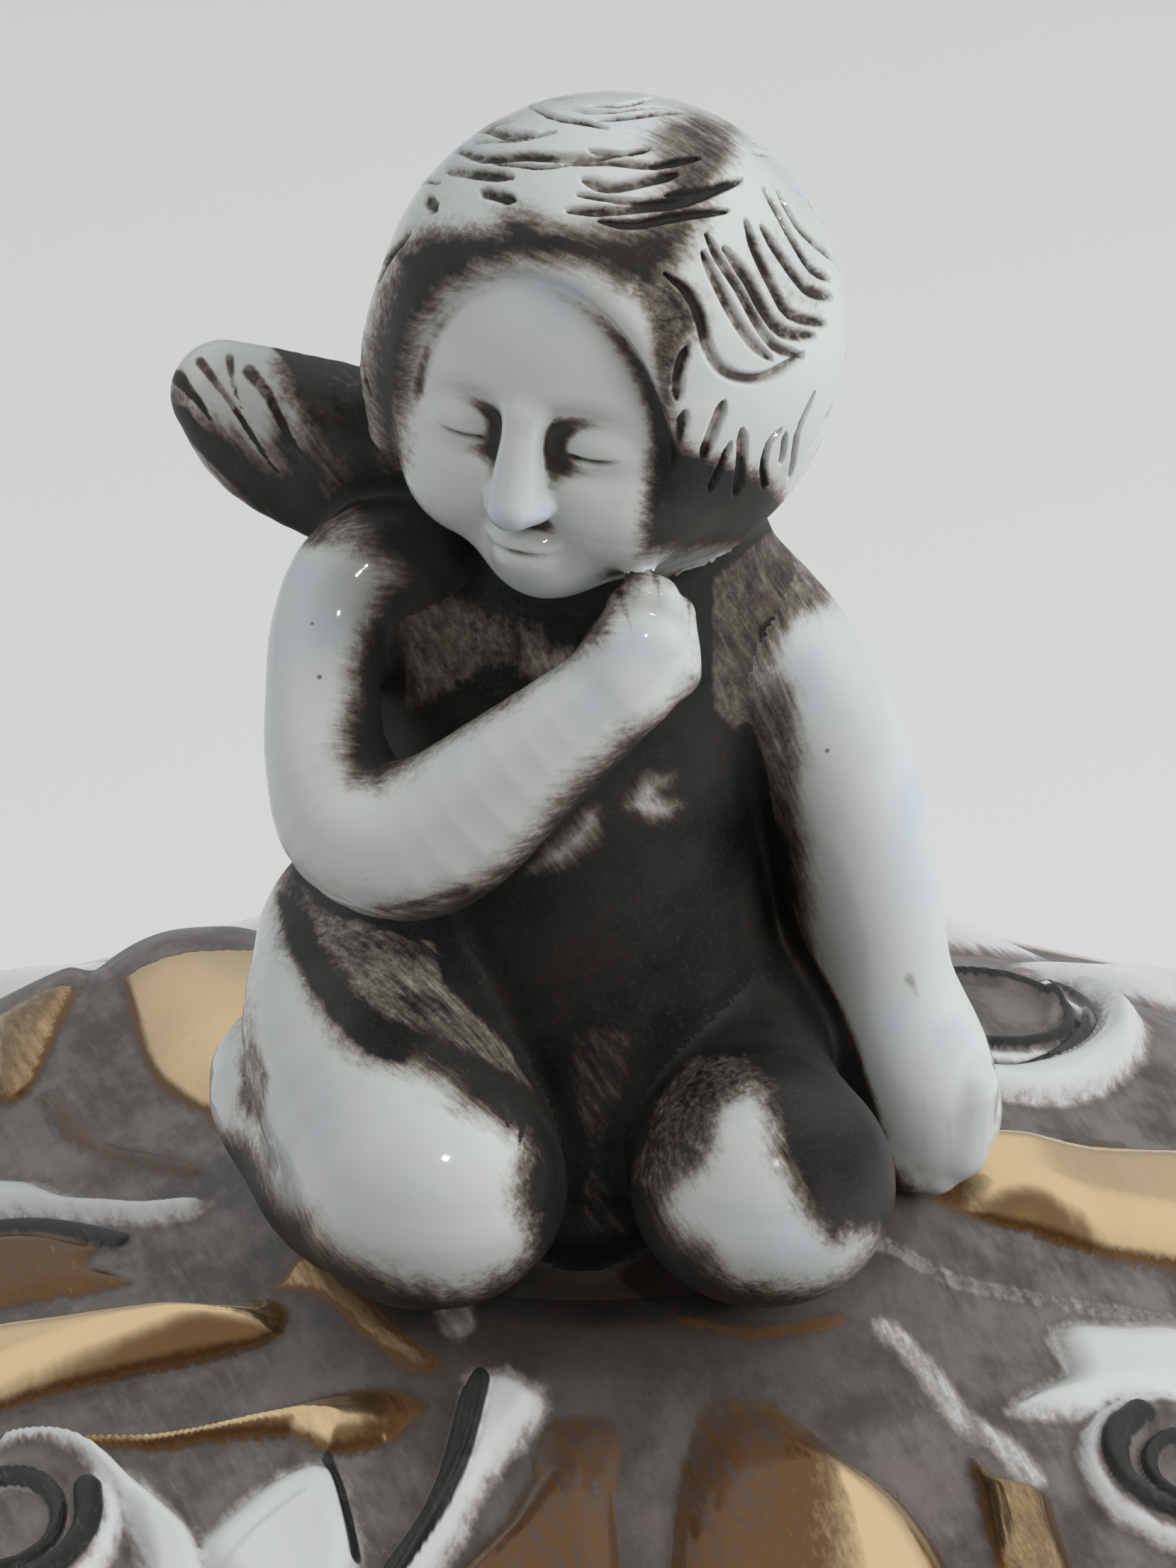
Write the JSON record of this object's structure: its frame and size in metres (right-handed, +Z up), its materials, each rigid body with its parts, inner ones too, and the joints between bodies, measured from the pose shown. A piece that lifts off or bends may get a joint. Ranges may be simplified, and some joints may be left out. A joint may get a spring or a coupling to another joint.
{
  "type": "covered bowl",
  "caption": "Round footed bowl with scroll handles and a lift-off domed lid, whose finial is a kneeling winged child.",
  "frame": {"origin": "centre of the foot, on the plane that the bowl stands on", "axes": "+Z up along the axis of the bowl, +X towards the handle on the viewer's right, -Y towards the viewer, whom the figure faces"},
  "size_m": [0.2402, 0.1752, 0.193],
  "materials": {
    "foot_gilding": "gold lustre over glaze, wiped dark in the hollows",
    "bowl_glaze": "gloss white glaze with gold lustre ribs and dark wiped hollows",
    "handle_gilding": "gold lustre over glaze, wiped dark in the hollows",
    "lid_gilding": "gold lustre, white glaze and dark wiped hollows",
    "flange_glaze": "gloss white glaze",
    "mound_patina": "dark brown wiped patina, satin",
    "torso_patina": "dark brown wiped patina, satin",
    "figure_glaze": "gloss white glaze with a bluish cast, dark wiped hollows"
  },
  "bodies": {
    "bowl_body": {"foot": "foot_gilding", "bowl": "bowl_glaze", "handle_right": "handle_gilding", "handle_left": "handle_gilding"},
    "lid_body": {"lid": "lid_gilding", "lid_flange": "flange_glaze", "figure_mound": "mound_patina", "torso": "torso_patina", "leg_right": "figure_glaze", "leg_left": "figure_glaze", "head": "figure_glaze", "arm_right": "figure_glaze", "arm_left": "figure_glaze", "wing_right": "figure_glaze", "wing_left": "figure_glaze"}
  },
  "joints": [
    {"name": "lid_lift", "type": "slide", "parent": "bowl_body", "child": "lid_body", "axis": [0, 0, 1], "range_m": [0, 0.12]}
  ]
}
